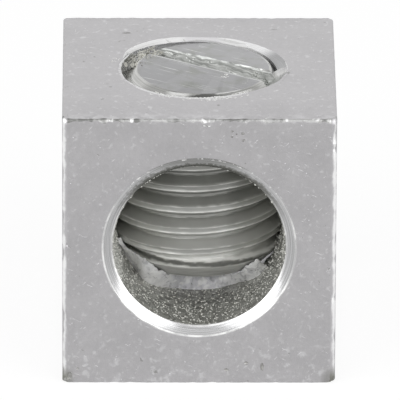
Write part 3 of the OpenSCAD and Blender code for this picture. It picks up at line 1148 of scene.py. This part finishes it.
def crest_wear_and_light(spot):
    """How bright the rubbed edges of the crests are, with painted light and shade: flanks painted brighter
    towards the tip, painted highlights and shade in bands at the tip, and painted shade in the roots; below 0
    the metal is darker: dull in the middle of the crests, and painted shade in the roots and in dark bands at
    the tip.
    """
    out = math.hypot(spot.x, spot.y)
    turns = (spot.z - THREAD_START) / PITCH - math.atan2(spot.y, spot.x) / FULL_TURN
    away = (turns - math.floor(turns) - 0.5) * PITCH
    broken = smooth(noise.noise(spot * 1.4) + 0.5 * noise.noise(spot * 4.0), -0.15, 0.3)
    below = away + CREST_FLAT / 2 - 0.015
    lower = math.exp(-((below / (0.065 if below > 0 else 0.13)) ** 2)) * (0.65 + 0.35 * broken)
    upper = math.exp(-(((away - CREST_FLAT / 2 + 0.005) / 0.045) ** 2)) * (0.35 + 0.5 * broken)
    at_crest = smooth(out, CREST_R - 0.28, CREST_R - 0.1)
    rubbed = max(lower, upper) * at_crest
    dull = 0.32 * smooth(abs(away), CREST_FLAT / 2 + 0.02, CREST_FLAT / 2 - 0.06) * at_crest
    # Painted shade in the roots
    root_shade = 0.2 * smooth(abs(away), 0.5, 0.68)
    if spot.z > SHINE_TOP:
        return (rubbed - dull if rubbed < dull else rubbed) - root_shade
    streak = noise.noise(spot * Vector((0.5, 0.5, 7))) + noise.noise(spot * Vector((1, 1, 16)))
    # Painted light: the flanks brighter towards the tip
    shine = 0.32 * smooth(spot.z, 12.2, 8.4)
    level = spot.z + 0.07 * noise.noise(spot * 1.3) + 0.05 * noise.noise(spot * 3.5)
    bands = np.interp(level, *zip(*TIP_BANDS))
    near_tip = bands + (0.2 * streak if bands > 0.3 else 0.0)
    level = max(rubbed, shine - dull) - root_shade if spot.z > TIP_BANDS_TOP else near_tip
    return max(-1.0, min(1.0, level))


def set_screw(tree):
    """The screw, cut from a threaded bar, with its slot, its last sliver of thread, and its rubbed crest edges
    and painted light and shade stored on its points.
    """
    screw = threaded_bar("set_screw_thread", tree, Crest_radius=CREST_R, Crest_flat=CREST_FLAT, Crest_dip=0.03,
                         Rounding=0.05, Columns=144, Rows_in_a_pitch=24, Wear=0.12)
    combine(screw, "INTERSECT", screw_reach())
    combine(screw, "DIFFERENCE", slot_tool())
    combine(screw, "UNION", thread_sliver())
    shade(screw, SCREW_SHARP)
    torn_lip = mottled("torn lip", 0.6, (0.62, 0.62, 0.62), (0.9, 0.9, 0.91), 0.25)
    smeared = plated_face("smeared plating")
    paint(screw, [screw_thread(), screw_end(), slot_wall(), smeared, bare_edge(), torn_lip], screw_region)
    wear_and_light = screw.data.attributes.new("wear_and_light", "FLOAT", "POINT")
    wear_and_light.data.foreach_set("value", [crest_wear_and_light(v.co) for v in screw.data.vertices])
    return screw


def skin_of(piece, number, low=-1.0):
    """A bare copy of the faces of one finish above a height, for grains to be scattered on."""
    mesh = bmesh.new()
    mesh.from_mesh(piece.data)
    away = [f for f in mesh.faces if f.material_index != number or f.calc_center_median().z < low]
    bmesh.ops.delete(mesh, geom=away, context="FACES")
    return mesh_of("skin", mesh)


# The stage

CAMERA_ELEVATION, CAMERA_TURN, CAMERA_ROLL = 23.178, -0.408, 0.228
CAMERA_DISTANCE, CAMERA_LENS = 0.758, 1032.5
# How far the camera looks beside the block's middle, right and up
AIM = (0.1024, -0.0753)
# Soft boxes: degrees aside and up from the front, distance, width and height, radiance
LAMP_ASIDE, LAMP_UP, LAMP_DISTANCE, LAMP_SIZE, LAMP_RADIANCE = 54, 21, 0.40, (0.48, 0.32), 1.45


def from_front(azimuth, elevation):
    """The way to a place that lies at these angles in degrees from the front."""
    a, e = math.radians(azimuth), math.radians(elevation)
    return Vector((math.sin(a) * math.cos(e), -math.cos(a) * math.cos(e), math.sin(e)))


def studio_camera():
    """The camera that sees the block's corners where the photo has them."""
    back, turn = from_front(CAMERA_TURN, CAMERA_ELEVATION), math.radians(CAMERA_TURN)
    right = Vector((math.cos(turn), math.sin(turn), 0))
    up = back.cross(right)
    target = Vector((0, 0, BODY_H / 2 * MM)) + (right * AIM[0] + up * AIM[1]) * MM
    data = bpy.data.cameras.new("studio camera")
    data.lens, data.sensor_width = CAMERA_LENS, 36.0
    data.clip_start, data.clip_end = 0.01, 10.0
    camera = linked("studio camera", data)
    facing = Matrix((right, up, back)).transposed().to_4x4()
    camera.matrix_world = Matrix.Translation(target + back * CAMERA_DISTANCE) @ facing @ Matrix.Rotation(
        math.radians(CAMERA_ROLL), 4, "Z")
    bpy.context.scene.camera = camera


def soft_box(name, azimuth, elevation, distance, size, radiance):
    """A rectangular soft light that faces the block, placed by its direction from the front."""
    data = bpy.data.lights.new(name, "AREA")
    data.shape, data.size, data.size_y = "RECTANGLE", *size
    data.energy = radiance * math.pi * size[0] * size[1]
    lamp = linked(name, data)
    way = from_front(azimuth, elevation)
    lamp.location = Vector((0, 0, 0.01)) + way * distance
    lamp.rotation_euler = way.to_track_quat("Z", "Y").to_euler()


def studio_world():
    """Pale surroundings: white to the camera, and darker overhead and above the camera in reflections."""
    world = bpy.data.worlds.new("studio")
    world.use_nodes = True
    bpy.context.scene.world = world
    graph = Graph(world.node_tree)
    way = graph.parts(graph.node("ShaderNodeTexCoord").outputs["Generated"])
    aside = graph.step(graph.size(way["X"]), 0.1, 0.5, 0.3, 0.95)
    behind = graph.step(way["Y"], 0.1, 0.8, 0.3, 1.0)
    before = graph.step(way["Y"], -0.42, -0.76, 0.3, 0.95)
    tone = graph.most(graph.most(aside, behind), before)
    path = graph.node("ShaderNodeLightPath").outputs
    level = graph.plus(0.45, graph.times(path["Is Glossy Ray"], graph.less(tone, 0.45)))
    seen = graph.most(path["Is Camera Ray"], path["Is Transmission Ray"])
    strength = graph.plus(level, graph.times(seen, graph.less(1.0, level)))
    background = world.node_tree.nodes["Background"]
    background.inputs["Color"].default_value = (1, 1, 1, 1)
    graph.feed(background.inputs["Strength"], strength)


def pale_floor():
    """A white floor that shows as the background and still takes the block's shadow."""
    mesh = bmesh.new()
    bmesh.ops.create_grid(mesh, x_segments=8, y_segments=8, size=1.4)
    floor = linked("floor", mesh_of("floor", mesh))
    material = bpy.data.materials.new("white floor")
    material.use_nodes = True
    graph = Graph(material.node_tree)
    matt = material.node_tree.nodes["Principled BSDF"]
    matt.inputs["Base Color"].default_value = (0.86, 0.86, 0.86, 1)
    matt.inputs["Roughness"].default_value = 0.9
    matt.inputs["Specular IOR Level"].default_value = 0.0
    path = graph.node("ShaderNodeLightPath").outputs
    shown = graph.most(path["Is Camera Ray"], path["Is Transmission Ray"])
    share = graph.most(graph.times(shown, 0.7), graph.times(path["Is Glossy Ray"], 0.5))
    white = graph.node("ShaderNodeEmission", {
        "Color": (1, 1, 1, 1), "Strength": graph.times_plus(shown, 0.18, 1.0),
    })
    both = graph.node("ShaderNodeMixShader", {0: share, 1: matt.outputs[0], 2: white.outputs[0]})
    graph.feed(material.node_tree.nodes["Material Output"].inputs["Surface"], both.outputs[0])
    floor.data.materials.append(material)


def studio():
    """Camera, surroundings, floor and a soft box on each side."""
    bpy.context.scene.view_settings.view_transform = "Standard"
    studio_camera()
    studio_world()
    pale_floor()
    for name, side in (("left soft box", -1), ("right soft box", 1)):
        soft_box(name, side * LAMP_ASIDE, LAMP_UP, LAMP_DISTANCE, LAMP_SIZE, LAMP_RADIANCE)


def flakes(name, tree, material, radius, spread, height, arc, count, sizes, thickness, tilt, seed, fall=9.0):
    """Torn flakes about a radius, over an arc in degrees; outside the radius fall they lie lower."""
    return grown(name, tree, Radius=radius, Spread=spread, Height=height, Fall_from=fall,
                 From_angle=math.radians(arc[0]), To_angle=math.radians(arc[1]), Count=count,
                 Smallest=sizes[0], Largest=sizes[1], Thickness=thickness, Tilt=tilt, Seed=seed,
                 Material=material)


def build():
    """All pieces, each put on its body."""
    threads, grains, burrs = thread_tree(), grain_tree(), burr_tree()
    block, screw = lug_block(threads), set_screw(threads)
    specks = mottled("plating specks", 0.6, (0.6, 0.6, 0.62), (0.84, 0.84, 0.85), 0.25)
    grit = mottled("bore grains", 0.5, (0.4, 0.4, 0.37), (0.98, 0.98, 0.93), 0.25)
    torn = mottled("torn metal", 0.5, (0.7, 0.7, 0.68), (0.97, 0.97, 0.95), 0.2)
    bead = mottled("burnished beads", 0.1, (0.85, 0.85, 0.84), (1.0, 1.0, 0.99), 0.3)
    chips = mottled("torn chips", 0.7, (0.12, 0.12, 0.1), (0.88, 0.87, 0.8), 0.22)
    dull = mottled("smeared metal", 0.7, (0.34, 0.36, 0.33), (0.66, 0.67, 0.63), 0.25)
    rim = FACE_Z - 0.012
    on_block = [
        grown("bore_grit", grains, skin_of(block, BORE), Density=13.5, Smallest=0.035, Largest=0.1, Height=0.7,
              Seed=5, Material=grit),
        grown("plating_nodules", grains, skin_of(block, PLATE, 0.3), Density=0.3, Smallest=0.016,
              Largest=0.055, Height=0.45, Seed=9, Material=specks),
        flakes("mouth_burrs", burrs, torn, 5.65, 0.22, FACE_Z, (163, 171), 16, (0.03, 0.1), 0.35, 0.1, 31),
    ]
    on_screw = [
        flakes("front_burrs", burrs, torn, 5.3, 0.33, FACE_Z - 0.01, (-126, -52), 80, (0.03, 0.17), 0.18,
               0.12, 12),
        flakes("front_beads", burrs, bead, 5.02, 0.06, rim, (-122, -44), 11, (0.09, 0.17), 0.18, 0.05, 77),
        flakes("front_tuft", burrs, bead, 5.25, 0.3, rim, (-87, -75), 24, (0.05, 0.16), 0.18, 0.05, 58),
        flakes("left_slot_burrs", burrs, chips, 4.4, 0.75, TOP_Z - 0.05, (128, 170), 150, (0.06, 0.3), 0.14,
               0.5, 21, 4.9),
        flakes("end_smear", burrs, torn, 2.1, 0.2, TOP_Z, (-44, -25), 22, (0.04, 0.13), 0.15, 0.1, 63),
        flakes("right_slot_burrs", burrs, dull, 4.3, 0.7, TOP_Z - 0.04, (-42, -6), 100, (0.04, 0.17), 0.3, 0.5,
               44, TOP_R),
    ]
    on_block.append(drilled_lip())
    finish_piece(block, "block", "plated_block", "lug_body")
    finish_piece(screw, "screw", "screw_metal", "set_screw")
    for piece in on_block:
        finish_piece(piece, "block", "plated_block")
    for piece in on_screw:
        finish_piece(piece, "screw", "screw_metal")


build()
studio()
